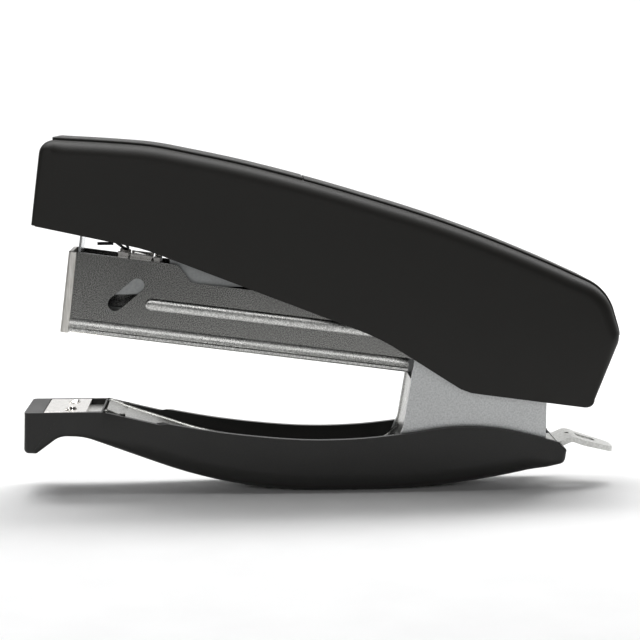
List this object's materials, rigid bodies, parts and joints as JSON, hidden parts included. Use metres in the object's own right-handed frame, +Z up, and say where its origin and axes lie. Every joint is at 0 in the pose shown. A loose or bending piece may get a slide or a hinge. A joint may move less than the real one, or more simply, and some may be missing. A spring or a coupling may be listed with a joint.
{
  "type": "plier stapler",
  "caption": "Hand-held plier stapler with a black handle and base cover, plated magazine, grey steel frame, clinching anvil and a staple-remover tongue.",
  "frame": {"origin": "middle of the bounding box in plan, on the surface that the belly stands on", "axes": "+X from the nose to the rear along the tool, +Z up with the jaw open, the tool is symmetric about the X-Z plane"},
  "size_m": [0.1758, 0.03, 0.1051],
  "materials": {
    "black_plastic": "moulded, fine satin grain",
    "soft_touch_black": "matte soft-touch coat",
    "grey_steel": "satin grey sheet steel with a fine speckle",
    "grey_paint": "smooth satin grey paint",
    "dark_chrome": "dark plated sheet with a fine speckle",
    "polished_nickel": "polished plated steel",
    "zinc": "bright zinc plate",
    "white_nylon": "natural nylon",
    "staple_wire": "bright galvanised wire",
    "spring_steel": "blackened spring wire",
    "blade_steel": "ground spring steel"
  },
  "bodies": {
    "frame": {"base_cover": "black_plastic", "steel_frame": "grey_steel", "anvil_plate": "polished_nickel", "anvil_rivet": "zinc", "base_screws": "zinc", "magazine_pin": "zinc", "handle_pin": "zinc", "magazine_washers": "white_nylon", "handle_washers": "white_nylon", "staple_remover": "polished_nickel", "remover_rivet": "zinc"},
    "magazine": {"magazine_shell": "dark_chrome", "front_guide": "polished_nickel", "inner_rail": "zinc", "rail_rivets": "zinc", "staple_strip": "staple_wire", "spring_rod": "zinc", "rod_bracket": "grey_steel", "spring_bridge": "polished_nickel", "spring_tongue": "polished_nickel", "follower_spring": "spring_steel", "return_spring": "spring_steel"},
    "follower": {"follower": "polished_nickel"},
    "driver": {"driver_blade": "blade_steel"},
    "handle": {"hammer_lever": "grey_paint", "spring_pin": "zinc", "handle_shell": "soft_touch_black", "shell_screws": "zinc", "front_panel": "soft_touch_black", "rear_panel": "soft_touch_black"}
  },
  "joints": [
    {"name": "handle_hinge", "type": "hinge", "parent": "frame", "child": "handle", "pos_m": [0.0591, 0, 0.04], "axis": [0, -1, 0], "range_deg": [0, 13], "stiffness_Nm_per_rad": 0.7, "springref_deg": -20.05, "deforming": ["return_spring"]},
    {"name": "magazine_hinge", "type": "hinge", "parent": "frame", "child": "magazine", "pos_m": [0.0341, 0, 0.045], "axis": [0, -1, 0], "range_deg": [0, 12]},
    {"name": "driver_slide", "type": "slide", "parent": "magazine", "child": "driver", "axis": [-0.1285, 0, -0.9917], "range_m": [0, 0.0069]},
    {"name": "follower_slide", "type": "slide", "parent": "magazine", "child": "follower", "axis": [0.9917, 0, -0.1285], "range_m": [0, 0.026], "stiffness_N_per_m": 25, "springref_m": -0.04, "deforming": ["follower_spring"]}
  ],
  "couplings": [
    {"joint": "magazine_hinge", "follows": "handle_hinge", "ratio": 0.923},
    {"joint": "driver_slide", "follows": "handle_hinge", "m_per_rad": 0.0304}
  ]
}
